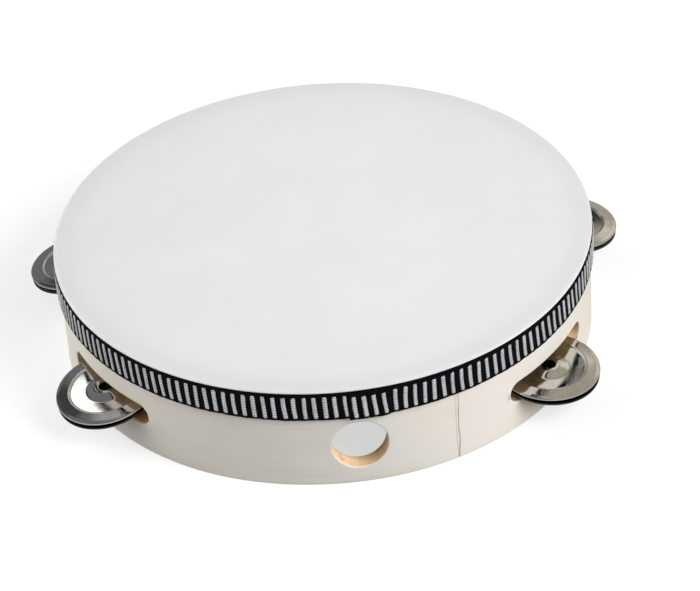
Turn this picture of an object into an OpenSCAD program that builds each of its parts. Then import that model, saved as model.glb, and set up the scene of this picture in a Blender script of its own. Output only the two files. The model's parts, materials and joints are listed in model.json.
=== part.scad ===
// A small hand drum with jingles: a bent-wood hoop with a skin on top, a woven ribbon over the
// skin's folded edge, and pairs of dished steel discs on nails in slots through the hoop.
// The origin is on the hoop's axis in the plane it stands on, and the thumb hole faces -Y.

/* [Shell] */
// Outer radius of the wooden hoop
shell_r = 100; // [80:1:130]
// Thickness of the hoop's wall
wall_t = 6.5; // [5.8:0.1:8]
// Height of the hoop without its skin
shell_h = 42.4; // [40:0.1:60]
// Rounding of the hoop's edges
edge_r = 0.6; // [0.4:0.1:0.6]

/* [Thumb hole] */
// Radius of the hole for the thumb
thumb_r = 10.2; // [6:0.1:11]
// Height of the hole's centre over the table
thumb_z = 17; // [14:0.2:18]

/* [Jingle slots] */
// Angle of the first slot from the thumb hole, turning towards +X
slot_1_angle = 48.8; // [40:0.1:60]
// Angle of the second slot
slot_2_angle = 103; // [92:1:108]
// Angle of the third slot
slot_3_angle = 151.5; // [140:0.5:160]
// Angle of the fourth slot
slot_4_angle = 200; // [192:1:208]
// Angle of the fifth slot
slot_5_angle = 248.5; // [240:0.5:260]
// Angle of the sixth slot
slot_6_angle = 298.7; // [292:0.1:318]
// Length of a slot along the wall, round ends included
slot_l = 48.2; // [46:0.1:50]
// Height of a slot
slot_h = 8.7; // [8.6:0.1:9.4]
// Height of a slot's lower edge over the table
slot_z = 11.6; // [11:0.2:13]

/* [Jingles] */
// Radius of a disc
disc_r = 18.9; // [18:0.1:20]
// Thickness of a disc's steel sheet
sheet_t = 0.6; // [0.5:0.05:0.7]
// Radius of the hole in the middle of a disc
disc_hole_r = 2.5; // [2.5:0.1:2.8]
// Height of the raised middle of a disc over the pair's mid-plane
boss_z = 2.4; // [2.2:0.05:2.5]
// Height of the flat valley between the middle and the rim
valley_z = 1.3; // [1.2:0.05:1.5]
// Height of the flat raised rim
rim_z = 2; // [1.7:0.05:2.2]
// Height of the shoulder above a disc's turned-down lip
shoulder_z = 1.35; // [1.2:0.05:1.5]
// Angle at which a resting pair gapes on its outer side
gape = 2; // [0:0.1:2]

/* [Nails] */
// Distance of a nail's middle from the hoop's outer face
nail_inset = 1.9; // [1.9:0.1:2.6]
// Radius of a nail's shank
nail_r = 0.8; // [0.7:0.05:0.85]
// Radius of a nail's flat head
nail_head_r = 1.2; // [1:0.05:1.25]
// Height of the tip of a nail over the table
nail_tip_z = 30; // [26:1:34]

/* [Head and ribbon] */
// Thickness of the skin
skin_t = 0.5; // [0.4:0.05:0.7]
// How far the skin folds down the outside of the hoop
skin_fold = 11.5; // [8:0.5:12]
// Width of the ribbon round the top of the drum
ribbon_w = 11.9; // [11.6:0.1:13.5]
// Thickness of the ribbon
ribbon_t = 0.8; // [0.6:0.05:1]
// Number of metallic bars in the ribbon
bar_count = 174; // [120:2:200]
// Width of a bar
bar_w = 1.6; // [1.2:0.1:2]
// Height of a bar
bar_h = 9.3; // [8:0.1:9.5]
// Lean of a bar from upright, its top turning away from +X
bar_lean = 5; // [0:1:15]

/* [Hidden] */
$fn = 96;

// The slots' angles, how far each nail stands from the middle of its slot, and how far each
// pair's mid-plane hangs down on its outer side, in degrees
slot_angles = [slot_1_angle, slot_2_angle, slot_3_angle, slot_4_angle, slot_5_angle, slot_6_angle];
nail_shifts = [-0.9, 0, 0, 0, 0, -0.3];
jingle_tilts = [6, 7, 7, 8, 11, 10.5];
// How high a pair that has caught on its nail rests above its slot's lower edge
jingle_lifts = [0, 0, 0, 0, 0.4, 0.8];
// How far a leaning pair slips outwards on its nail
jingle_slip = 1;
// Clear space under a resting pair, and height of a lip's edge over the pair's mid-plane
rest_gap = 0.3;
lip_z = 0.5;

inner_r = shell_r - wall_t;
mid_r = shell_r - wall_t / 2;
through = wall_t + 10;
nail_at_r = shell_r - nail_inset;
disc_at_r = nail_at_r + jingle_slip;

// Disc outline: the middle is flat to boss_flat_r, its slope ends at boss_foot_r, and the
// raised rim is flat between rim_start_r and rim_end_r
boss_flat_r = 3.8;
boss_foot_r = 7;
valley_end_r = disc_r - 5.7;
rim_start_r = disc_r - 4.9;
rim_end_r = disc_r - 1.7;
outline_step = 0.4;

nail_head_t = 0.9;
nail_head_z = 0.3;

skin_side_t = 0.35;
skin_corner_r = edge_r + skin_side_t;
skin_top = shell_h + skin_t;
skin_r = shell_r + skin_side_t;

ribbon_top = skin_top - 1;
ribbon_z = ribbon_top - ribbon_w;
ribbon_r = skin_r + 0.05;
bar_t = 0.2;
bar_z = ribbon_z + ribbon_w / 2 - 0.2;
// A flat bar stands clear of the round ribbon behind it
bar_r = ribbon_r + ribbon_t + 0.01;

// 0 below a, 1 above b, and a straight or a smooth rise between them
function slope(x, a, b) = min(1, max(0, (x - a) / (b - a)));
function rise(x, a, b) =
    let (t = slope(x, a, b))
    t * t * (3 - 2 * t);

// Height of a disc's outer surface over the pair's mid-plane, at radius r
function disc_top(r) =
    valley_z
    + (boss_z - valley_z) * (1 - slope(r, boss_flat_r, boss_foot_r))
    + (rim_z - valley_z) * rise(r, valley_end_r, rim_start_r)
    - (rim_z - shoulder_z) * rise(r, rim_end_r, disc_r);

// Height of the mid-plane of a pair whose lower disc leans by this much and clears its slot
function rest_z(lean) =
    slot_z + rest_gap + boss_z / cos(lean) + (shell_r - disc_at_r) * tan(lean);

function nail_angle(i) = slot_angles[i - 1] + nail_shifts[i - 1];

// A rectangle from [0, z0] to [r, z1] with its upper outer corner rounded
module corner_block(r, z0, z1, round_r) {
    translate([0, z0]) square([r - round_r, z1 - z0]);
    translate([0, z0]) square([r, z1 - z0 - round_r]);
    translate([r - round_r, z1 - round_r]) circle(r = round_r);
}

// The hoop's cross-section, rounded on its four edges
module wall_section() {
    core_t = wall_t - 2 * edge_r;
    core_h = shell_h - 2 * edge_r;
    translate([inner_r, edge_r]) square([wall_t, core_h]);
    translate([inner_r + edge_r, 0]) square([core_t, shell_h]);
    for (x = [inner_r + edge_r, shell_r - edge_r])
        for (z = [edge_r, shell_h - edge_r])
            translate([x, z]) circle(r = edge_r);
}

// The outline of a slot, with round ends
module slot_outline() {
    end_r = slot_h / 2;
    half_l = slot_l / 2 - end_r;
    translate([-half_l, -end_r]) square([2 * half_l, slot_h]);
    for (x = [-half_l, half_l]) translate([x, 0]) circle(r = end_r);
}

// A slot cut through the wall at angle a
module slot_cut(a) {
    rotate([0, 0, a])
        translate([0, -mid_r, slot_z + slot_h / 2])
            rotate([90, 0, 0]) linear_extrude(height = through, center = true) slot_outline();
}

// The place of nail i in the wood, with a seat for its head in the hoop's lower edge
module nail_cut(i) {
    rotate([0, 0, nail_angle(i)])
        translate([0, -nail_at_r, 0]) {
            cylinder(r = nail_r, h = nail_tip_z);
            translate([0, 0, -1]) cylinder(r = nail_head_r, h = nail_head_z + nail_head_t + 1);
        }
}

module shell() {
    color([0.91, 0.86, 0.78])
        difference() {
            rotate_extrude($fn = 180) wall_section();
            translate([0, -mid_r, thumb_z])
                rotate([90, 0, 0]) cylinder(r = thumb_r, h = through, center = true);
            for (a = slot_angles) slot_cut(a);
            for (i = [1:6]) nail_cut(i);
        }
}

// The skin lies on the hoop and folds down its outside
module drumhead() {
    color([0.91, 0.90, 0.86])
        rotate_extrude($fn = 180)
            difference() {
                corner_block(skin_r, skin_top - skin_fold, skin_top, skin_corner_r);
                translate([0, -1]) corner_block(shell_r, 0, shell_h + 1, edge_r);
            }
}

module ribbon() {
    color([0.05, 0.05, 0.06])
        rotate_extrude($fn = 180)
            translate([ribbon_r, ribbon_z]) square([ribbon_t, ribbon_w]);
}

module ribbon_bars() {
    color([0.75, 0.75, 0.76])
        for (i = [0:bar_count - 1])
            rotate([0, 0, 360 * i / bar_count])
                translate([0, -bar_r - bar_t / 2, bar_z])
                    rotate([0, -bar_lean, 0]) cube([bar_w, bar_t, bar_h], center = true);
}

module jingle_pin(i) {
    color([0.55, 0.55, 0.56])
        rotate([0, 0, nail_angle(i)])
            translate([0, -nail_at_r, 0]) {
                translate([0, 0, nail_head_z]) cylinder(r = nail_head_r, h = nail_head_t);
                translate([0, 0, nail_head_z]) cylinder(r = nail_r, h = nail_tip_z - nail_head_z);
            }
}

// One disc, dished side down, with its lip turned down to the pair's mid-plane
module disc() {
    radii = [for (r = [disc_hole_r:outline_step:disc_r - sheet_t]) r];
    last = len(radii) - 1;
    outer = [for (r = radii) [r, disc_top(r)]];
    inner = [for (i = [last:-1:0]) [radii[i], disc_top(radii[i]) - sheet_t]];
    lip = [
        [disc_r - sheet_t / 3, shoulder_z],
        [disc_r, shoulder_z - sheet_t / 2],
        [disc_r, lip_z],
        [disc_r - sheet_t, lip_z]
    ];
    rotate_extrude($fn = 120) polygon(concat(outer, lip, inner));
}

// A disc of pair i at rest: upright for the upper one, turned over for the lower one
module jingle(i, upper) {
    lower_lean = jingle_tilts[i - 1] + gape / 2;
    lean = upper ? lower_lean - gape : lower_lean;
    color([0.78, 0.77, 0.73])
        rotate([0, 0, nail_angle(i)])
            translate([0, -disc_at_r, rest_z(lower_lean) + jingle_lifts[i - 1]])
                rotate([lean, 0, 0])
                    rotate([upper ? 0 : 180, 0, 0]) disc();
}

shell();
drumhead();
ribbon();
ribbon_bars();
jingle_pin(1);  // jingle_pin_1
jingle_pin(2);  // jingle_pin_2
jingle_pin(3);  // jingle_pin_3
jingle_pin(4);  // jingle_pin_4
jingle_pin(5);  // jingle_pin_5
jingle_pin(6);  // jingle_pin_6
jingle(1, false);  // jingle_1_lower
jingle(2, false);  // jingle_2_lower
jingle(3, false);  // jingle_3_lower
jingle(4, false);  // jingle_4_lower
jingle(5, false);  // jingle_5_lower
jingle(6, false);  // jingle_6_lower
jingle(1, true);  // jingle_1_upper
jingle(2, true);  // jingle_2_upper
jingle(3, true);  // jingle_3_upper
jingle(4, true);  // jingle_4_upper
jingle(5, true);  // jingle_5_upper
jingle(6, true);  // jingle_6_upper
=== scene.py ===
"""The looks of the tambourine: a bent-wood hoop, a skin, a woven ribbon and pairs of steel jingles.

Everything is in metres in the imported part's frame: the hoop stands on z = 0 round the Z axis, its
thumb hole faces -Y, and an angle is counted from the thumb hole towards +X.
"""

import json
import math

import bpy
import numpy as np
from mathutils import Matrix, Vector


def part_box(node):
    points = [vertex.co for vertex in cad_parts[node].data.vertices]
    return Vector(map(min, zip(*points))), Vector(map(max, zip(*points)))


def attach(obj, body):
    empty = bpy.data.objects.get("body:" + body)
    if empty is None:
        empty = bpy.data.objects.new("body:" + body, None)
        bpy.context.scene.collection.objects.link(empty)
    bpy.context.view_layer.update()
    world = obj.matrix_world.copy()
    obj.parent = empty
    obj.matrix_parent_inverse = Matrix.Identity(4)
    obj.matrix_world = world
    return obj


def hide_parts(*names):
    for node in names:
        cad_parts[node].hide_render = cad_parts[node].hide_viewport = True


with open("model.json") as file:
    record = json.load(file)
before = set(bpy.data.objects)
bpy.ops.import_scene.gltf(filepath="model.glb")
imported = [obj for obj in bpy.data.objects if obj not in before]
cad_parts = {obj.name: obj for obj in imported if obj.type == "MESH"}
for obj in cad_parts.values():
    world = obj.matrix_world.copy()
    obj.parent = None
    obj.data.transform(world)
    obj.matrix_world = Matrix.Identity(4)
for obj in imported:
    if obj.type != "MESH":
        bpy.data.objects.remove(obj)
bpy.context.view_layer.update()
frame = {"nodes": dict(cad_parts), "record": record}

MM = 0.001
ROOT = "frame"
PAIRS = range(1, 7)

# ---------------------------------------------------------------- sizes

# From the frame where it gives them. The others are the part's own, given again here.

shell_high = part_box("shell")[1]
skin_low, skin_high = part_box("drumhead")
ribbon_low, ribbon_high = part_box("ribbon")
bars_low, bars_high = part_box("ribbon_bars")
mounts = {m["name"]: m for m in frame["record"]["mounts"]}

SHELL_R = shell_high.x
SHELL_H = shell_high.z
WALL_T = 6.5 * MM
EDGE_R = 0.6 * MM
THUMB_R = mounts["thumb_hole"]["dims"]["r_mm"] * MM
THUMB_Z = mounts["thumb_hole"]["pos_m"][2]
SLOT_L = 48.2 * MM
SLOT_H = 8.7 * MM
SLOT_Z = 11.6 * MM + SLOT_H / 2
SKIN_TOP = skin_high.z
SKIN_R = skin_high.x
RIBBON_R = ribbon_high.x
RIBBON_Z = ribbon_low.z
RIBBON_W = ribbon_high.z - ribbon_low.z
BAR_COUNT = 174
BAR_W = 1.6 * MM
BAR_H = 9.3 * MM
BAR_LEAN = math.radians(5)
BAR_Z = (bars_low.z + bars_high.z) / 2
# The thread's turns lie 0.72 mm apart
THREAD_RATE = 2 * math.pi / (0.72 * MM)

# The hoop's glued seam outside and inside, and the ribbon's overlap, from its upper end to its lower
SEAM_ANGLE = math.radians(21)
INNER_SEAM_ANGLE = math.radians(29)
SEAM_APART = 0.55 * MM
SEAM_WAVE = 0.16 * MM
SEAM_WAVE_RATE = 310
LAP_START = math.radians(-1.8)
LAP_END = math.radians(6.4)


def angle_of(node):
    """The angle of a node's middle, from the thumb hole towards +X."""
    low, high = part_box(node)
    middle = (low + high) / 2
    return math.atan2(middle.x, -middle.y)


# Each nail stands this far from the middle of its slot
NAIL_SHIFTS = [math.radians(a) for a in (-0.9, 0, 0, 0, 0, -0.3)]
SLOT_ANGLES = [angle_of(f"jingle_pin_{i}") - shift for i, shift in zip(PAIRS, NAIL_SHIFTS)]

# ---------------------------------------------------------------- camera

CAMERA_TURN = math.radians(-4.3)
CAMERA_RISE = math.radians(34.736)
CAMERA_FAR = 1.27377
CAMERA_AIM_Z = 44 * MM
CAMERA_YAW = math.radians(0.3786)
CAMERA_PITCH = math.radians(-1.2243)
CAMERA_ROLL = math.radians(-4.3204)
LENS = 174.86
SENSOR = 36.0


def make_camera():
    """A long lens above the front, aimed a little under the middle of the skin."""
    target = Vector((0, 0, CAMERA_AIM_Z))
    back = Vector((
        math.sin(CAMERA_TURN) * math.cos(CAMERA_RISE),
        -math.cos(CAMERA_TURN) * math.cos(CAMERA_RISE),
        math.sin(CAMERA_RISE),
    ))
    right = Vector((math.cos(CAMERA_TURN), math.sin(CAMERA_TURN), 0))
    up = back.cross(right)
    ahead = (
        -back * math.cos(CAMERA_YAW) * math.cos(CAMERA_PITCH)
        + right * math.sin(CAMERA_YAW) * math.cos(CAMERA_PITCH)
        + up * math.sin(CAMERA_PITCH)
    ).normalized()
    level = ahead.cross(Vector((0, 0, 1))).normalized()
    upright = level.cross(ahead)
    side = level * math.cos(CAMERA_ROLL) + upright * math.sin(CAMERA_ROLL)
    top = upright * math.cos(CAMERA_ROLL) - level * math.sin(CAMERA_ROLL)
    data = bpy.data.cameras.new("camera")
    data.lens = LENS
    data.sensor_width = SENSOR
    data.clip_start = 0.01
    data.clip_end = 50
    camera = bpy.data.objects.new("camera", data)
    bpy.context.scene.collection.objects.link(camera)
    turn = Matrix((side, top, -ahead)).transposed()
    camera.matrix_world = Matrix.Translation(target + back * CAMERA_FAR) @ turn.to_4x4()
    bpy.context.scene.camera = camera


make_camera()

# ---------------------------------------------------------------- material helpers


class Graph:
    """A node tree, with short calls for the nodes used here."""

    def __init__(self, tree):
        self.tree = tree

    def put(self, socket, value):
        """Links a socket to another, or sets its value."""
        if isinstance(value, bpy.types.NodeSocket):
            self.tree.links.new(value, socket)
        else:
            socket.default_value = value

    def node(self, kind, out=0, **inputs):
        """A node by its type, with its inputs by name."""
        made = self.tree.nodes.new(kind)
        for name, value in inputs.items():
            self.put(made.inputs[name.replace("_", " ")], value)
        return made.outputs[out]

    def object_point(self):
        """The point in the object's own coordinates, in metres."""
        return self.node("ShaderNodeTexCoord", "Object")

    def math(self, operation, *values):
        made = self.tree.nodes.new("ShaderNodeMath")
        made.operation = operation
        for socket, value in zip(made.inputs, values):
            self.put(socket, value)
        return made.outputs[0]

    def scaled(self, point, x, y, z):
        """The point with each of its coordinates multiplied."""
        made = self.tree.nodes.new("ShaderNodeVectorMath")
        made.operation = "MULTIPLY"
        self.put(made.inputs[0], point)
        made.inputs[1].default_value = (x, y, z)
        return made.outputs[0]

    def split(self, point):
        made = self.tree.nodes.new("ShaderNodeSeparateXYZ")
        self.put(made.inputs[0], point)
        return made.outputs

    def joined(self, x, y, z):
        made = self.tree.nodes.new("ShaderNodeCombineXYZ")
        for socket, value in zip(made.inputs, (x, y, z)):
            self.put(socket, value)
        return made.outputs[0]

    def shifted(self, point):
        """The point moved by a vector of the object's own, so that no two share a pattern."""
        own = self.math("MULTIPLY", self.node("ShaderNodeObjectInfo", "Random"), 3.0)
        made = self.tree.nodes.new("ShaderNodeVectorMath")
        made.operation = "ADD"
        self.put(made.inputs[0], point)
        self.put(made.inputs[1], self.joined(own, own, 0.0))
        return made.outputs[0]

    def angle(self, point):
        """The angle round the Z axis from -Y towards +X."""
        x, y, _ = self.split(point)
        return self.math("ARCTAN2", x, self.math("MULTIPLY", y, -1))

    def radius(self, point):
        """Distance from the Z axis of the point's own coordinates."""
        x, y, _ = self.split(point)
        return self.math("SQRT", self.math("ADD", self.math("MULTIPLY", x, x), self.math("MULTIPLY", y, y)))

    def ramp(self, value, low, high, start=0.0, end=1.0):
        """A smooth rise from start to end as value goes from low to high."""
        made = self.tree.nodes.new("ShaderNodeMapRange")
        made.interpolation_type = "SMOOTHSTEP"
        for name, number in (("From Min", low), ("From Max", high), ("To Min", start), ("To Max", end)):
            made.inputs[name].default_value = number
        self.put(made.inputs["Value"], value)
        return made.outputs["Result"]

    def noise(self, point, scale=1.0, detail=3.0, roughness=0.55):
        """Noise from 0 to 1, mostly between 0.3 and 0.7."""
        settings = {"Scale": scale, "Detail": detail, "Roughness": roughness}
        return self.node("ShaderNodeTexNoise", Vector=point, **settings)

    def mix(self, share, first, second):
        """A blend of two colours, each a socket or an (r, g, b)."""
        made = self.tree.nodes.new("ShaderNodeMix")
        made.data_type = "RGBA"
        self.put(made.inputs["Factor"], share)
        for name, colour in (("A", first), ("B", second)):
            socket = next(s for s in made.inputs if s.name == name and s.type == "RGBA")
            self.put(socket, (*colour, 1) if isinstance(colour, tuple) else colour)
        return next(s for s in made.outputs if s.type == "RGBA")

    def bump(self, height, strength, distance, below=None):
        """A normal tilted by a height, over another normal if one is given."""
        made = self.tree.nodes.new("ShaderNodeBump")
        made.inputs["Strength"].default_value = strength
        made.inputs["Distance"].default_value = distance
        self.put(made.inputs["Height"], height)
        if below is not None:
            self.put(made.inputs["Normal"], below)
        return made.outputs[0]


class Surface(Graph):
    """A new material's node tree."""

    def __init__(self, name):
        self.material = bpy.data.materials.new(name)
        self.material.use_nodes = True
        super().__init__(self.material.node_tree)
        self.shader = self.tree.nodes["Principled BSDF"]

    def surface(self, **inputs):
        """Sets the shader's own sockets, and returns the material."""
        for name, value in inputs.items():
            socket = self.shader.inputs[name.replace("_", " ")]
            colour = isinstance(value, tuple) and socket.type == "RGBA"
            self.put(socket, (*value, 1) if colour else value)
        return self.material


# ---------------------------------------------------------------- materials


def seam_colour(g, point, colour):
    """A grey glue line between a faint straight seam and a darker wavy one, pinker wood to its right."""
    z = g.split(point)[2]
    along = g.math("MULTIPLY", g.math("SUBTRACT", g.angle(point), SEAM_ANGLE), SHELL_R)
    apart = g.ramp(z, 0, 9 * MM, 0, SEAM_APART)
    wave = g.math("MULTIPLY", g.math("SINE", g.math("MULTIPLY", z, SEAM_WAVE_RATE)), SEAM_WAVE)
    wander = g.math("MULTIPLY", g.noise(point, scale=160, detail=2), 0.3 * MM)
    straight = g.math("ABSOLUTE", g.math("ADD", along, apart))
    wavy = g.math("SUBTRACT", g.math("SUBTRACT", along, apart), g.math("ADD", wave, wander))
    patchy = g.ramp(g.noise(g.scaled(point, 60, 60, 260), detail=3), 0.36, 0.6, 0.45, 1)
    pink = g.math("MULTIPLY", g.ramp(along, 0, 1.2 * MM), g.ramp(along, 14 * MM, 40 * MM, 1, 0))
    glue = g.ramp(g.math("ABSOLUTE", along), 0.4 * MM, 0.8 * MM, 0.35, 0)
    faint = g.math("MULTIPLY", g.ramp(straight, 0.08 * MM, 0.3 * MM, 0.45, 0), patchy)
    dark = g.ramp(g.math("ABSOLUTE", wavy), 0.1 * MM, 0.4 * MM, 0.6, 0)
    colour = g.mix(g.math("MULTIPLY", pink, 0.55), colour, (0.635, 0.575, 0.53))
    colour = g.mix(glue, colour, (0.48, 0.46, 0.43))
    colour = g.mix(faint, colour, (0.33, 0.28, 0.24))
    return g.mix(g.math("MULTIPLY", dark, patchy), colour, (0.30, 0.22, 0.16))


def cut_colour(g, point, streaks, colour):
    """The wood's colour, but tan and layered inside the wall's thickness, scorched a little by the tool."""
    z = g.split(point)[2]
    radius = g.radius(point)
    inner = SHELL_R - WALL_T
    in_wall = g.math(
        "MULTIPLY",
        g.ramp(radius, inner + 0.1 * MM, inner + 0.5 * MM),
        g.ramp(radius, SHELL_R - 0.6 * MM, SHELL_R - 0.15 * MM, 1, 0),
    )
    through = g.joined(g.math("MULTIPLY", radius, 1500), 0.0, g.math("MULTIPLY", streaks, 6))
    layers = g.noise(through, detail=2)
    scorch = g.noise(g.scaled(point, 240, 240, 240), detail=4, roughness=0.7)
    cut = g.mix(g.ramp(layers, 0.4, 0.62), (0.82, 0.63, 0.41), (0.76, 0.48, 0.24))
    cut = g.mix(g.ramp(scorch, 0.52, 0.72, 0, 0.7), cut, (0.33, 0.18, 0.08))
    # The upper and lower edges are planed and paler
    planed = g.mix(g.ramp(layers, 0.4, 0.6), (0.77, 0.66, 0.50), (0.68, 0.55, 0.38))
    near_rim = g.math("MAXIMUM", g.ramp(z, 1.0 * MM, 2.2 * MM, 1, 0), g.ramp(z, 40 * MM, 42 * MM))
    return g.mix(in_wall, colour, g.mix(near_rim, cut, planed))


def wood_material():
    """Pale lacquered wood with its grain along the hoop."""
    g = Surface("shell_wood")
    point = g.object_point()
    streaks = g.noise(g.scaled(point, 22, 22, 900), detail=4, roughness=0.6)
    fine = g.noise(g.scaled(point, 60, 60, 2600), detail=3, roughness=0.65)
    clouds = g.noise(g.scaled(point, 26, 26, 60), detail=2)
    tint = g.noise(g.scaled(point, 14, 14, 34), detail=1)
    stains = g.noise(g.scaled(point, 9, 9, 90), detail=3)
    colour = g.mix(g.ramp(streaks, 0.38, 0.66), (0.590, 0.552, 0.500), (0.560, 0.520, 0.455))
    colour = g.mix(g.ramp(fine, 0.58, 0.8, 0, 0.25), colour, (0.50, 0.44, 0.36))
    colour = g.mix(g.ramp(clouds, 0.35, 0.65, 0, 0.6), colour, (0.61, 0.59, 0.56))
    colour = g.mix(g.ramp(tint, 0.48, 0.72, 0, 0.5), colour, (0.62, 0.555, 0.485))
    colour = g.mix(g.ramp(stains, 0.56, 0.66, 0, 0.35), colour, (0.62, 0.56, 0.40))
    colour = seam_colour(g, point, colour)
    colour = cut_colour(g, point, streaks, colour)
    grain = g.bump(g.math("ADD", streaks, g.math("MULTIPLY", fine, 0.7)), 0.15, 0.2 * MM)
    rough = g.ramp(fine, 0.3, 0.8, 0.42, 0.62)
    return g.surface(Base_Color=colour, Roughness=rough, Normal=grain, Specular_IOR_Level=0.35)


def skin_material():
    """An off-white drum skin, faintly cloudy, with fine pores, and painted shade darkening it towards its
    edge.
    """
    g = Surface("skin")
    point = g.object_point()
    clouds = g.noise(point, scale=24, detail=3)
    warm = g.noise(point, scale=13, detail=2)
    pores = g.noise(point, scale=900, detail=3, roughness=0.7)
    fibres = g.noise(g.scaled(point, 60, 420, 60), detail=4, roughness=0.7)
    colour = g.mix(g.ramp(clouds, 0.35, 0.68), (0.595, 0.595, 0.60), (0.62, 0.62, 0.622))
    colour = g.mix(g.ramp(warm, 0.45, 0.7, 0, 0.5), colour, (0.63, 0.617, 0.605))
    colour = g.mix(g.ramp(fibres, 0.55, 0.8, 0, 0.2), colour, (0.595, 0.585, 0.56))
    radius = g.radius(point)
    # Painted shade: darker from 30 mm outwards, and darker again over the hoop's edge from 88 mm
    colour = g.mix(g.ramp(radius, 30 * MM, 90 * MM, 0, 0.5), colour, (0.57, 0.57, 0.566))
    colour = g.mix(g.ramp(radius, 88 * MM, 100 * MM, 0, 0.35), colour, (0.48, 0.48, 0.476))
    relief = g.bump(g.math("ADD", pores, g.math("MULTIPLY", fibres, 0.6)), 0.12, 0.12 * MM)
    rough = g.ramp(pores, 0.3, 0.7, 0.5, 0.62)
    return g.surface(
        Base_Color=colour, Roughness=rough, Normal=relief, Specular_IOR_Level=0.3,
        Subsurface_Weight=0.5, Subsurface_Radius=(1.0, 1.0, 1.0), Subsurface_Scale=2 * MM,
    )


def yarn_material():
    """Matt black braid, its threads showing only as a fine weave."""
    g = Surface("ribbon_black")
    point = g.object_point()
    weave = g.noise(g.scaled(point, 1700, 1700, 3200), detail=2, roughness=0.6)
    lint = g.noise(point, scale=700, detail=3, roughness=0.8)
    colour = g.mix(g.ramp(weave, 0.4, 0.7), (0.0015, 0.0015, 0.002), (0.005, 0.005, 0.007))
    colour = g.mix(g.ramp(lint, 0.7, 0.82, 0, 0.3), colour, (0.03, 0.03, 0.035))
    relief = g.bump(weave, 0.7, 0.3 * MM)
    return g.surface(Base_Color=colour, Roughness=0.9, Normal=relief, Specular_IOR_Level=0.08)


def silver_material():
    """White metallic thread wound in close turns, with dark specks where the black yarn shows."""
    g = Surface("ribbon_silver")
    point = g.object_point()
    height = g.split(point)[2]
    wander = g.math("MULTIPLY", g.noise(point, scale=260, detail=1), 5.0)
    turns = g.math("SINE", g.math("ADD", g.math("MULTIPLY", height, THREAD_RATE), wander))
    specks = g.noise(point, scale=1500, detail=2, roughness=0.8)
    dull = g.noise(point, scale=330, detail=2)
    colour = g.mix(g.ramp(turns, -0.9, 0.3), (0.30, 0.30, 0.32), (0.93, 0.93, 0.95))
    colour = g.mix(g.ramp(dull, 0.5, 0.75, 0, 0.5), colour, (0.42, 0.42, 0.45))
    colour = g.mix(g.ramp(specks, 0.6, 0.72, 0, 0.7), colour, (0.05, 0.05, 0.06))
    relief = g.bump(turns, 0.5, 0.12 * MM)
    return g.surface(Base_Color=colour, Metallic=0.65, Roughness=0.34, Normal=relief)


def nickel_material(name, tone, dark):
    """Nickel-plated sheet: fine turning lines, faint tarnish and a few pits."""
    g = Surface(name)
    point = g.object_point()
    radius = g.radius(point)
    turning = g.noise(g.joined(g.math("MULTIPLY", radius, 5200), 0.0, 0.0), detail=2)
    own = g.shifted(point)
    tarnish = g.noise(own, scale=130, detail=3, roughness=0.65)
    pits = g.noise(own, scale=1400, detail=2, roughness=0.7)
    ripple = g.noise(own, scale=95, detail=1)
    colour = g.mix(g.ramp(tarnish, 0.42, 0.72, 0, 0.65), tone, dark)
    colour = g.mix(g.ramp(pits, 0.66, 0.76, 0, 0.5), colour, (0.16, 0.13, 0.10))
    rough = g.math("ADD", g.ramp(tarnish, 0.35, 0.75, 0.07, 0.16), g.ramp(pits, 0.6, 0.8, 0, 0.2))
    relief = g.bump(turning, 0.05, 0.05 * MM)
    relief = g.bump(ripple, 0.12, 0.5 * MM, relief)
    return g.surface(Base_Color=colour, Metallic=1.0, Roughness=rough, Normal=relief)


def nail_material():
    """Drawn wire, a little rusty, painted near black as painted shade for the dark hole that it stands in."""
    g = Surface("nail_steel")
    point = g.object_point()
    drawn = g.noise(g.scaled(point, 2500, 2500, 120), detail=2)
    rust = g.noise(point, scale=420, detail=3, roughness=0.7)
    # Painted shade: the near-black base stands in for the shaded hole; the drawn streaks and rust are the
    # wire's own
    colour = g.mix(g.ramp(drawn, 0.35, 0.7), (0.05, 0.047, 0.045), (0.09, 0.085, 0.08))
    colour = g.mix(g.ramp(rust, 0.6, 0.8, 0, 0.5), colour, (0.06, 0.035, 0.02))
    return g.surface(Base_Color=colour, Metallic=1.0, Roughness=g.ramp(rust, 0.4, 0.8, 0.3, 0.6))


WOOD = wood_material()
SKIN = skin_material()
YARN = yarn_material()
SILVER = silver_material()
NICKEL = nickel_material("jingle_nickel", (0.70, 0.69, 0.66), (0.56, 0.50, 0.40))
# The lower discs are painted nearly black: painted shade for the dark gap under each upper disc
SHADE_DARK_NICKEL = nickel_material("jingle_nickel_painted_shade", (0.10, 0.095, 0.09), (0.05, 0.045, 0.04))
NAIL = nail_material()

# ---------------------------------------------------------------- mesh helpers


def on_hoop(angle, radius, z):
    """The point at an angle from the thumb hole, at a radius and height."""
    return Vector((radius * math.sin(angle), -radius * math.cos(angle), z))


def smooth(x, low, high):
    """0 at low, 1 at high, and a smooth rise between them."""
    t = min(1.0, max(0.0, (x - low) / (high - low)))
    return t * t * (3 - 2 * t)


def hump(x, centre, half_width):
    """A smooth bump, 1 at its centre and 0 from half_width on."""
    return 1 - smooth(abs(x - centre), 0, half_width)


def turned(angle, centre):
    """The signed angle from centre, between -pi and pi."""
    return (angle - centre + math.pi) % (2 * math.pi) - math.pi


def make_piece(name, points, faces, material, body=ROOT):
    """A smooth-shaded object from points and faces, riding on a body."""
    mesh = bpy.data.meshes.new(name)
    mesh.from_pydata([tuple(p) for p in points], [], faces)
    mesh.validate()
    mesh.polygons.foreach_set("use_smooth", [True] * len(mesh.polygons))
    mesh.materials.append(material)
    piece = bpy.data.objects.new(name, mesh)
    bpy.context.scene.collection.objects.link(piece)
    if body:
        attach(piece, body)
    return piece


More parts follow.
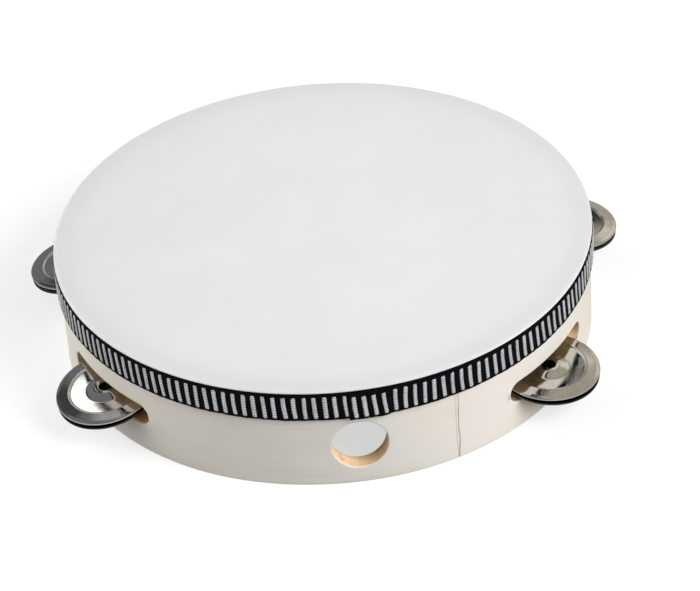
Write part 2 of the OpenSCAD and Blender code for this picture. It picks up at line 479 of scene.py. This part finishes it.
def ring_faces(start, count, rings, closed_rings=False):
    """Quads between successive rings of count points each, in the order that they were added."""
    faces = []
    pairs = rings if closed_rings else rings - 1
    for r in range(pairs):
        a = start + r * count
        b = start + ((r + 1) % rings) * count
        for i in range(count):
            j = (i + 1) % count
            faces.append((a + i, a + j, b + j, b + i))
    return faces


# ---------------------------------------------------------------- the hoop

GRID_STEP = 1.25 * MM
HOLE_MARGIN = 2.3 * MM
HOLE_ROUND = 0.35 * MM
HOLE_OUTER = 0.9 * MM
HOOP_WAVE = 0.05 * MM
SEAM_ZONE = 1.9 * MM
SEAM_STEP = 0.13 * MM
CORNER = [math.radians(a) for a in (22.5, 45, 67.5, 90)]


def hoop_columns():
    """Angles round the hoop, evenly spaced, and close together over each seam."""
    even = 2 * math.pi / round(2 * math.pi * SHELL_R / GRID_STEP)
    angles = [i * even for i in range(round(2 * math.pi / even))]
    for seam in (SEAM_ANGLE, INNER_SEAM_ANGLE):
        half = SEAM_ZONE / SHELL_R
        angles = [a for a in angles if abs(turned(a, seam)) > half + even * 0.3]
        steps = round(2 * SEAM_ZONE / SEAM_STEP)
        angles += [seam - half + 2 * half * i / steps for i in range(steps + 1)]
    return sorted(angles)


def seam_depth(along, z):
    """Depth of the outer seam: a straight line, a wavy one beside it, and glue between them."""
    wave = SEAM_WAVE * math.sin(z * SEAM_WAVE_RATE) + 0.10 * MM * math.sin(z * 790 + 1)
    apart = SEAM_APART * smooth(z, 0, 9 * MM)
    straight = 0.14 * MM * hump(along, -apart, 0.2 * MM)
    wavy = 0.26 * MM * hump(along, apart + wave, 0.26 * MM)
    glue = 0.05 * MM * smooth(along, -apart - 0.05 * MM, -apart + 0.15 * MM)
    glue *= 1 - smooth(along, apart - 0.15 * MM, apart + 0.25 * MM)
    return straight + wavy + glue


def hoop_outer(angle, z):
    """Radius of the hoop's outer face, with the seam and the slight waves of a bent strip."""
    along = turned(angle, SEAM_ANGLE) * SHELL_R
    waves = HOOP_WAVE * math.sin(angle * 9 + z * 60) - HOOP_WAVE
    return SHELL_R + waves - seam_depth(along, z)


def hoop_inner(angle, z):
    """Radius of the hoop's inner face, with its own plain seam."""
    along = turned(angle, INNER_SEAM_ANGLE) * SHELL_R
    return SHELL_R - WALL_T + 0.14 * MM * hump(along, 0, 0.3 * MM)


def stadium(half_l, radius, share):
    """The point at a share of the way round a slot's outline, from its right end upwards."""
    arc = math.pi * radius / 2
    total = 4 * arc + 4 * half_l
    walked = (share % 1) * total
    if walked < arc:
        a = walked / radius
        return half_l + radius * math.cos(a), radius * math.sin(a)
    if walked < arc + 2 * half_l:
        return half_l - (walked - arc), radius
    if walked < 3 * arc + 2 * half_l:
        a = math.pi / 2 + (walked - arc - 2 * half_l) / radius
        return -half_l + radius * math.cos(a), radius * math.sin(a)
    if walked < 3 * arc + 4 * half_l:
        return -half_l + (walked - 3 * arc - 2 * half_l), -radius
    a = 3 * math.pi / 2 + (walked - 3 * arc - 4 * half_l) / radius
    return half_l + radius * math.cos(a), radius * math.sin(a)


def through_wall(angle, across, z, depth):
    """A point in the wall, across from the hole's middle, at a depth from 0 outside to 1 inside."""
    outer = math.sqrt(hoop_outer(angle, z) ** 2 - across**2)
    inner = math.sqrt((SHELL_R - WALL_T) ** 2 - across**2)
    out = outer + (inner - outer) * depth
    return Vector((
        out * math.sin(angle) + across * math.cos(angle),
        -out * math.cos(angle) + across * math.sin(angle),
        z,
    ))


def hoop_section(rows):
    """The wall's outline: up the outer face, over the top, down the inner face and back underneath."""
    head = SHELL_H - EDGE_R
    section = [("out", 0.0, z) for z in rows]
    section += [("out", EDGE_R * (1 - math.cos(a)), head + EDGE_R * math.sin(a)) for a in CORNER]
    section += [("in", EDGE_R * (1 - math.sin(a)), head + EDGE_R * math.cos(a)) for a in [0] + CORNER[:-1]]
    section += [("in", 0.0, z) for z in reversed(rows)]
    section += [("in", EDGE_R * (1 - math.cos(a)), EDGE_R - EDGE_R * math.sin(a)) for a in CORNER]
    section += [("out", EDGE_R * (1 - math.sin(a)), EDGE_R - EDGE_R * math.cos(a)) for a in [0] + CORNER[:-1]]
    return section


def hole_loop(near, level):
    """The grid's border round a hole, as (column, row), from its right side's foot round to its bottom."""
    right = [(near[-1], j) for j in level]
    top = [(i, level[-1]) for i in reversed(near)]
    left = [(near[0], j) for j in reversed(level)]
    bottom = [(i, level[0]) for i in near]
    return right + top[1:] + left[1:] + bottom[1:-1]


def hole_shares(places):
    """How far round the loop each of its places is, from where it crosses the height of the middle."""
    steps = [math.dist(p, places[(n + 1) % len(places)]) for n, p in enumerate(places)]
    walked = -abs(places[0][1])
    shares = []
    for step in steps:
        shares.append(walked / sum(steps))
        walked += step
    return shares


def hole_rings():
    """Each ring of a hole: how far outside the outline it lies, and its depth through the wall."""
    lip = HOLE_ROUND / WALL_T
    outer = [(HOLE_OUTER, 0), (HOLE_ROUND, 0), (HOLE_ROUND * 0.3, lip * 0.3), (0, lip), (0, 3 * lip)]
    return outer + [(0, 0.5)] + [(grow, 1 - depth) for grow, depth in reversed(outer)]


def make_hoop():
    """The bent strip as a grid, with the thumb hole and the slots cut into it with rounded lips."""
    columns = hoop_columns()
    n_rows = round((SHELL_H - 2 * EDGE_R) / GRID_STEP)
    rows = [EDGE_R + (SHELL_H - 2 * EDGE_R) * i / n_rows for i in range(n_rows + 1)]
    section = hoop_section(rows)
    inner_start = len(rows) + 2 * len(CORNER)
    size = len(section)
    points = []
    for angle in columns:
        for side, inset, z in section:
            radius = hoop_outer(angle, z) - inset if side == "out" else hoop_inner(angle, z) + inset
            points.append(on_hoop(angle, radius, z))

    holes = [(0.0, THUMB_Z, 0.0, THUMB_R)]
    holes += [(a, SLOT_Z, SLOT_L / 2 - SLOT_H / 2, SLOT_H / 2) for a in SLOT_ANGLES]
    blocks = []
    cut = set()
    for angle, z, half_l, radius in holes:
        reach = (half_l + radius + HOLE_MARGIN) / SHELL_R
        near = [i for i, a in enumerate(columns) if abs(turned(a, angle)) <= reach + 1e-9]
        near.sort(key=lambda i: turned(columns[i], angle))
        level = [j for j, h in enumerate(rows) if abs(h - z) <= radius + HOLE_MARGIN]
        blocks.append((angle, z, half_l, radius, hole_loop(near, level)))
        for i in near[:-1]:
            for j in level[:-1]:
                cut.add((i, j))
                cut.add((i, inner_start + n_rows - j - 1))

    faces = []
    for i in range(len(columns)):
        after = (i + 1) % len(columns)
        for j in range(size):
            if (i, j) not in cut:
                k = (j + 1) % size
                faces.append((i * size + j, after * size + j, after * size + k, i * size + k))

    # Each hole is bridged from the grid's border outside, through the wall, to the border inside
    rings = hole_rings()
    for angle, z, half_l, radius, loop in blocks:
        shares = hole_shares([(turned(columns[i], angle) * SHELL_R, rows[j] - z) for i, j in loop])
        base = len(points)
        points += [points[i * size + j] for i, j in loop]
        for grow, depth in rings:
            for share in shares:
                across, rise = stadium(half_l, radius + grow, share)
                points.append(through_wall(angle, across, z + rise, depth))
        points += [points[i * size + inner_start + n_rows - j] for i, j in loop]
        faces += ring_faces(base, len(loop), len(rings) + 2)

    hoop = make_piece("hoop", points, faces, WOOD)
    weld = hoop.modifiers.new("weld", "WELD")
    weld.merge_threshold = 1e-6
    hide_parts("shell")


make_hoop()

# ---------------------------------------------------------------- the skin

SKIN_FOLD = SKIN_TOP - skin_low.z
SKIN_SPOKES = 240
# The skin rolls over the hoop's edge and stands out a little over the ribbon
SKIN_BULGE = 0.65 * MM
SKIN_ROLL_W = 1.5 * MM
SKIN_ROLL_H = 0.75 * MM
# The skin's inner face clears the hoop by this much
SKIN_GAP = 0.02 * MM
TOP_RADII = (4, 12, 20, 28, 36, 44, 52, 60, 68, 76, 83, 89, 94, 97, 98.4)
UNDER_RADII = (98, 94, 89, 83, 76, 68, 60, 52, 44, 36, 28, 20, 12, 4)
SIDE_DEPTHS = (3, 5, 7, 9, 11)
WAVE_END_R = 98.6 * MM


def skin_wave(angle, radius):
    """The skin's slight unevenness under tension."""
    pull = 0.03 * MM * math.sin(angle * 7 + 1) * smooth(radius, 0.06, 0.095)
    belly = -0.10 * MM * (1 - (radius / SHELL_R) ** 2)
    return pull + belly


def skin_section():
    """The skin from its middle out, over the hoop's edge, down the side, and back underneath."""
    bend = [math.radians(a) for a in (0, 15, 30, 45, 60, 75, 90)]
    roll_r = SKIN_R + SKIN_BULGE - SKIN_ROLL_W
    inner_r = SHELL_R + SKIN_GAP
    under_top = SHELL_H + SKIN_GAP
    section = [(r * MM, SKIN_TOP) for r in TOP_RADII]
    for a in bend:
        section.append((roll_r + SKIN_ROLL_W * math.sin(a), SKIN_TOP - SKIN_ROLL_H * (1 - math.cos(a))))
    section.append((SKIN_R + SKIN_BULGE - 0.15 * MM, ribbon_high.z + 0.05 * MM))
    section.append((SKIN_R, ribbon_high.z - 0.3 * MM))
    section += [(SKIN_R, SKIN_TOP - d * MM) for d in SIDE_DEPTHS]
    section += [(SKIN_R, SKIN_TOP - SKIN_FOLD), (inner_r, SKIN_TOP - SKIN_FOLD)]
    section += [(inner_r, SKIN_TOP - d * MM) for d in reversed(SIDE_DEPTHS)]
    for a in reversed(bend):
        section.append((SHELL_R - EDGE_R + EDGE_R * math.sin(a), under_top - EDGE_R + EDGE_R * math.cos(a)))
    return section + [(r * MM, under_top) for r in UNDER_RADII]


def make_skin():
    """The skin's section turned about the hoop's axis, and closed at the middle above and below."""
    section = skin_section()
    points = []
    for radius, z in section:
        for i in range(SKIN_SPOKES):
            angle = 2 * math.pi * i / SKIN_SPOKES
            lift = skin_wave(angle, radius) if radius < WAVE_END_R else 0
            points.append(on_hoop(angle, radius, z + lift))
    faces = ring_faces(0, SKIN_SPOKES, len(section))
    last = len(points) - SKIN_SPOKES
    for first, z, upper in ((0, section[0][1], True), (last, section[-1][1], False)):
        points.append(Vector((0, 0, z + skin_wave(0, 0))))
        for i in range(SKIN_SPOKES):
            edge = (first + i, first + (i + 1) % SKIN_SPOKES)
            faces.append((edge[1], edge[0], len(points) - 1) if upper else (*edge, len(points) - 1))
    skin = make_piece("skin", points, [tuple(reversed(f)) for f in faces], SKIN)
    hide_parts("drumhead")


make_skin()

# ---------------------------------------------------------------- the ribbon

RIBBON_T = 0.75 * MM
RIBBON_STEP = 0.6 * MM
LAP = LAP_END - LAP_START
LAP_FADE = math.radians(100)
LAP_RISE = 0.78 * MM
LAP_SINK = 0.35 * MM
TURN = 2 * math.pi


def ribbon_radius(walked):
    """The braid's outer radius, walked from its upper end: over the lower end first, then down."""
    over = 1 - smooth(walked, LAP - math.radians(1.1), LAP + math.radians(0.9))
    return RIBBON_R - 0.05 * MM + LAP_RISE * over


def ribbon_sink(walked):
    """How much lower the braid runs after its upper end than before its lower end."""
    return LAP_SINK * (1 - smooth(walked, 0, LAP_FADE))


def edge_wander(angle, phase):
    """The slight unevenness of a woven edge."""
    return 0.07 * MM * math.sin(angle * 37 + phase) + 0.05 * MM * math.sin(angle * 91 + 2 * phase)


def ribbon_relief(along, height):
    """Relief of the braid: thick corded edges and a ribbed ground between the bars."""
    cords = 0.14 * MM * (hump(height, 0.6 * MM, 0.6 * MM) + hump(height, RIBBON_W - 0.8 * MM, 0.7 * MM))
    twist = 0.05 * MM * math.sin(along / (0.55 * MM) + height / (0.4 * MM))
    return cords + twist


RIBBON_HEIGHTS = (0.0, 0.2, 0.45, 0.7, 1.0, 1.3, 2.2, 3.2, 4.2, 5.2, 6.2, 7.2, 8.2, 9.2, 10.0, 10.5,
                  11.0, 11.3, 11.6)


def make_ribbon():
    """The black braid as one strip with corded edges, whose upper end lies over its lower end."""
    length = TURN + LAP
    count = round(length * RIBBON_R / RIBBON_STEP)
    heights = [h * MM for h in RIBBON_HEIGHTS] + [RIBBON_W]
    points = []
    for i in range(count + 1):
        walked = length * i / count
        angle = LAP_START + walked
        outer = ribbon_radius(walked)
        back = outer - RIBBON_T
        floor = RIBBON_Z - ribbon_sink(walked)
        rim = [edge_wander(walked, 0), edge_wander(walked, 2)]
        for h in heights:
            edge = rim[h > RIBBON_W / 2] * abs(2 * h / RIBBON_W - 1)
            radius = outer - 0.05 * MM + ribbon_relief(walked * RIBBON_R, h)
            radius -= 0.35 * MM * max(hump(h, 0, 0.35 * MM), hump(h, RIBBON_W, 0.35 * MM))
            points.append(on_hoop(angle, radius, floor + h + edge))
        points.append(on_hoop(angle, back, floor + RIBBON_W + rim[1]))
        points.append(on_hoop(angle, back, floor + rim[0]))
    around = len(heights) + 2
    faces = [tuple(reversed(face)) for face in ring_faces(0, around, count + 1)]
    faces += [tuple(range(around)), tuple(reversed(range(count * around, (count + 1) * around)))]
    ribbon = make_piece("ribbon_braid", points, faces, YARN)
    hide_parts("ribbon")


make_ribbon()

BAR_COLUMNS = 6
BAR_ROWS = 39
BAR_CROWN = 0.3 * MM
BAR_BACK_T = 0.25 * MM
# The bars on the overlap stand askew, and the first one after it stands further off
LAP_BARS = 4
FIRST_BAR = math.radians(1.2)
LAP_PITCH = math.radians(2.02)
AFTER_LAP = math.radians(9.55)
LAST_BAR = TURN - math.radians(0.6)


def bar_place(n):
    """How far bar n is along the braid from its upper end, as an angle."""
    if n < LAP_BARS:
        return FIRST_BAR + n * LAP_PITCH
    return AFTER_LAP + (LAST_BAR - AFTER_LAP) * (n - LAP_BARS) / (BAR_COUNT - 1 - LAP_BARS)


def bar_lean(n, angle):
    """A bar's lean from upright. It wanders round the hoop as the braid was pulled more or less."""
    if n < LAP_BARS:
        return BAR_LEAN
    lean = BAR_LEAN - math.radians(2) + math.radians(1.2) * math.sin(n * 2.3)
    lean -= math.radians(3.5) * hump(angle, math.radians(11), math.radians(16))
    lean += math.radians(4) * hump(angle, math.radians(50), math.radians(24))
    return lean + math.radians(5) * hump(angle, math.radians(-58), math.radians(34))


def make_bars():
    """The leaning bars of metallic thread, each a crowned bundle with ribs and uneven ends."""
    points = []
    faces = []
    for n in range(BAR_COUNT):
        place = bar_place(n) + math.radians(0.05) * math.sin(n * 3.1)
        lean = bar_lean(n, turned(LAP_START + place, 0))
        width = BAR_W * (1 + 0.06 * math.sin(n * 1.7))
        start = len(points)
        for j in range(BAR_ROWS + 1):
            up = (j / BAR_ROWS - 0.5) * BAR_H * (1 + 0.02 * math.sin(n * 5.3))
            taper = 1 - 0.25 * smooth(abs(up), BAR_H * 0.44, BAR_H * 0.5)
            rib = 0.035 * MM * math.cos(j * TURN / 3 + n)
            bow = 0.12 * MM * (1 - (2 * up / BAR_H) ** 2)
            for i in range(BAR_COLUMNS + 1):
                side = (i / BAR_COLUMNS - 0.5) * width * taper
                crown = BAR_CROWN * (1 - (2 * i / BAR_COLUMNS - 1) ** 2) ** 0.5
                crown *= 1 - 0.8 * smooth(abs(up), BAR_H * 0.42, BAR_H * 0.5)
                sway = 0.05 * MM * math.sin(up / BAR_H * 5 + n) - bow
                along = side * math.cos(lean) - up * math.sin(lean) + sway
                height = up * math.cos(lean) + side * math.sin(lean)
                walked = place + along / RIBBON_R
                radius = ribbon_radius(walked) - 0.04 * MM + crown + (rib if 0 < i < BAR_COLUMNS else 0)
                points.append(on_hoop(LAP_START + walked, radius, BAR_Z + height - ribbon_sink(walked)))
        width_n = BAR_COLUMNS + 1
        for j in range(BAR_ROWS):
            for i in range(BAR_COLUMNS):
                a = start + j * width_n + i
                faces.append((a, a + 1, a + 1 + width_n, a + width_n))
    bars = make_piece("ribbon_silver_bars", points, faces, SILVER)
    solid = bars.modifiers.new("thickness", "SOLIDIFY")
    solid.thickness = BAR_BACK_T
    solid.offset = -1
    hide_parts("ribbon_bars")


make_bars()

# ---------------------------------------------------------------- the jingles

DISC_SPOKES = 144
DISC_STEPS = 64
SHEET_T = 0.6 * MM
# A disc's flat middle ends at BOSS_R, then come a cone, a valley, and from the edge inwards its rim
BOSS_R = 4.1 * MM
CONE_W = 3.6 * MM
CONE_EASE = 0.3
VALLEY_START_R = 7.5 * MM
VALLEY_Z = 0.75 * MM
VALLEY_SLOPE = 0.05
RIM_Z = 1.55 * MM
RIM_START = 5.5 * MM
RIM_TOP = 4.8 * MM
RIM_FALL = 0.42 * MM
RIM_FALL_W = 3.0 * MM
SHOULDER_Z = 0.85 * MM
SHOULDER_W = 1.8 * MM


def disc_frame(node):
    """A disc's centre on its lip's plane, its axis away from the lip, its radius, hole and height."""
    co = np.array([v.co for v in frame["nodes"][node].data.vertices])
    axis = np.linalg.svd(co - co.mean(0), full_matrices=False)[2][2]
    upward = 1 if node.endswith("upper") else -1
    axis = axis * (1 if axis[2] * upward > 0 else -1)
    side = np.cross(axis, (0, 0, 1))
    side /= np.linalg.norm(side)
    slope = np.cross(axis, side)
    across = (co @ side, co @ slope)
    middle = sum(d * (c.max() + c.min()) / 2 for d, c in zip((side, slope), across))
    centre = middle + axis * (co @ axis).min()
    offset = co - centre
    away = np.linalg.norm(offset - np.outer(offset @ axis, axis), axis=1)
    return Vector(centre), Vector(axis), away.max(), away.min(), (offset @ axis).max()


def disc_height(r, radius, height):
    """Height of a disc's outer face over its lip's plane: middle, slope, valley, rim and shoulder."""
    from_edge = r - radius
    valley = VALLEY_Z + VALLEY_SLOPE * (max(r, VALLEY_START_R) - VALLEY_START_R)
    cone = min(1.0, max(0.0, (r - BOSS_R) / CONE_W))
    cone += CONE_EASE * (smooth(cone, 0, 1) - cone)
    up = valley + (height - valley) * (1 - cone)
    up += (RIM_Z - valley) * smooth(from_edge, -RIM_START, -RIM_TOP)
    up -= RIM_FALL * min(1.0, max(0.0, (from_edge + RIM_TOP) / RIM_FALL_W))
    up -= (RIM_Z - RIM_FALL - SHOULDER_Z) * smooth(from_edge, -SHOULDER_W, -0.1 * MM)
    return up


def disc_mesh(radius, hole, height, metal):
    """One stamped disc, its lip down on z = 0, turned about Z."""
    radii = [hole + (radius - 0.35 * MM - hole) * i / DISC_STEPS for i in range(DISC_STEPS + 1)]
    outer = [(r, disc_height(r, radius, height)) for r in radii]
    top = outer[-1][1]
    edge = [(radius - 0.12 * MM, top - 0.10 * MM), (radius, top - 0.35 * MM), (radius, 0.15 * MM)]
    edge += [(radius - 0.08 * MM, 0.03 * MM), (radius - SHEET_T / 2, 0), (radius - SHEET_T, 0.08 * MM)]
    inner = [(min(r, radius - SHEET_T), z - SHEET_T) for r, z in reversed(outer)]
    inner = [p for p in inner if p[0] < radius - SHEET_T - 0.01 * MM]
    outer = [(hole + 0.12 * MM, outer[0][1])] + outer[2:]
    bottom = height - SHEET_T
    bore = [(hole + 0.1 * MM, bottom), (hole, bottom + 0.1 * MM), (hole, height - 0.12 * MM)]
    section = outer + edge + inner[:-1] + bore
    points = []
    for r, z in section:
        for i in range(DISC_SPOKES):
            a = 2 * math.pi * i / DISC_SPOKES
            points.append((r * math.cos(a), r * math.sin(a), z))
    mesh = bpy.data.meshes.new("jingle_disc")
    faces = ring_faces(0, DISC_SPOKES, len(section), closed_rings=True)
    mesh.from_pydata(points, [], [tuple(reversed(f)) for f in faces])
    mesh.validate()
    mesh.polygons.foreach_set("use_smooth", [True] * len(mesh.polygons))
    mesh.materials.append(metal)
    return mesh


def make_jingles():
    """Twelve discs where the frame's discs lie, each riding on its own body."""
    meshes = {}
    metals = {"lower": SHADE_DARK_NICKEL, "upper": NICKEL}
    for i in PAIRS:
        for side in ("lower", "upper"):
            node = f"jingle_{i}_{side}"
            centre, axis, radius, hole, height = disc_frame(node)
            if side not in meshes:
                meshes[side] = disc_mesh(radius, hole, height, metals[side])
            disc = bpy.data.objects.new(f"disc_{i}_{side}", meshes[side])
            bpy.context.scene.collection.objects.link(disc)
            across = Vector((0, 1, 0)).cross(axis).normalized()
            stand = Matrix((across, axis.cross(across), axis)).transposed()
            disc.matrix_world = Matrix.Translation(centre) @ stand.to_4x4()
            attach(disc, node)
            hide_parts(node)


make_jingles()

for i in PAIRS:
    pin = frame["nodes"][f"jingle_pin_{i}"]
    pin.data.materials.clear()
    pin.data.materials.append(NAIL)

# ---------------------------------------------------------------- floor and light


def make_floor():
    """A plain pale sweep under the drum, brighter to the eye than the light that it throws up."""
    g = Surface("floor")
    speck = g.noise(g.object_point(), scale=300, detail=2)
    glow = g.ramp(g.node("ShaderNodeLightPath", "Is Camera Ray"), 0, 1, 0.1, 0.62)
    g.surface(
        Base_Color=g.mix(speck, (0.355, 0.355, 0.355), (0.37, 0.37, 0.37)), Roughness=0.9,
        Specular_IOR_Level=0.0, Emission_Color=(1.0, 1.0, 1.0), Emission_Strength=glow,
    )
    half = 6.0
    corners = [(-half, -half, 0), (half, -half, 0), (half, half, 0), (-half, half, 0)]
    floor = make_piece("floor", corners, [(0, 1, 2, 3)], g.material, body=None)


def make_light(name, place, size, power, colour):
    """A square soft light aimed at the drum, and left out of reflections."""
    data = bpy.data.lights.new(name, "AREA")
    data.shape = "SQUARE"
    data.size = size
    data.energy = power
    data.color = colour
    light = bpy.data.objects.new(name, data)
    bpy.context.scene.collection.objects.link(light)
    light.location = place
    light.rotation_euler = (Vector((0, 0, 0.02)) - Vector(place)).to_track_quat("-Z", "Y").to_euler()
    light.visible_glossy = False


def make_world():
    """A pale studio. Polished metal sees its panels and the dark gaps between them."""
    world = bpy.data.worlds.new("studio")
    world.use_nodes = True
    bpy.context.scene.world = world
    tree = world.node_tree
    tree.nodes.clear()
    g = Graph(tree)
    way = g.node("ShaderNodeTexCoord", "Generated")

    def toward(azimuth, elevation, inner, outer):
        """1 within inner degrees of a direction, 0 past outer degrees. Azimuth 0 is +Y, 90 is +X."""
        a, e = math.radians(azimuth), math.radians(elevation)
        made = tree.nodes.new("ShaderNodeVectorMath")
        made.operation = "DOT_PRODUCT"
        g.put(made.inputs[0], way)
        made.inputs[1].default_value = (math.sin(a) * math.cos(e), math.cos(a) * math.cos(e), math.sin(e))
        return g.ramp(made.outputs["Value"], math.cos(math.radians(outer)), math.cos(math.radians(inner)))

    # What polished metal sees: a grey room, creamy on its right, with small white panels and dark gaps
    seen = g.mix(g.ramp(g.split(way)[0], -0.05, 0.12), (0.17, 0.175, 0.19), (0.46, 0.43, 0.37))
    seen = g.mix(toward(-31, 40, 8.5, 12), seen, (0.05, 0.05, 0.055))
    seen = g.mix(toward(-11.5, 43, 4.5, 7), seen, (1.9, 1.9, 1.92))
    seen = g.mix(toward(-19, 61, 5, 11), seen, (0.42, 0.42, 0.44))
    seen = g.mix(toward(11, 38, 7.5, 10), seen, (0.035, 0.04, 0.04))
    seen = g.mix(toward(38, 30, 8, 14), seen, (0.80, 0.76, 0.68))
    # What lights everything else: a dim room, a little brighter overhead, with a bright panel on its left
    room = g.mix(toward(0, 90, 25, 65), (0.12, 0.12, 0.12), (0.24, 0.24, 0.235))
    room = g.mix(toward(104, 15, 20, 65), room, (0.38, 0.38, 0.38))
    room = g.mix(toward(-68, 12, 22, 50), room, (4.6, 4.6, 4.55))
    path = tree.nodes.new("ShaderNodeLightPath")
    colour = g.mix(path.outputs["Is Glossy Ray"], room, seen)
    colour = g.mix(path.outputs["Is Camera Ray"], colour, (1.0, 1.0, 1.0))
    background = tree.nodes.new("ShaderNodeBackground")
    g.put(background.inputs["Color"], colour)
    output = tree.nodes.new("ShaderNodeOutputWorld")
    tree.links.new(background.outputs[0], output.inputs[0])


make_floor()
make_world()
make_light("key", place=(1.576, -1.231, 1.40), size=1.76, power=87, colour=(0.97, 0.985, 1.0))
bpy.context.scene.view_settings.view_transform = "Standard"
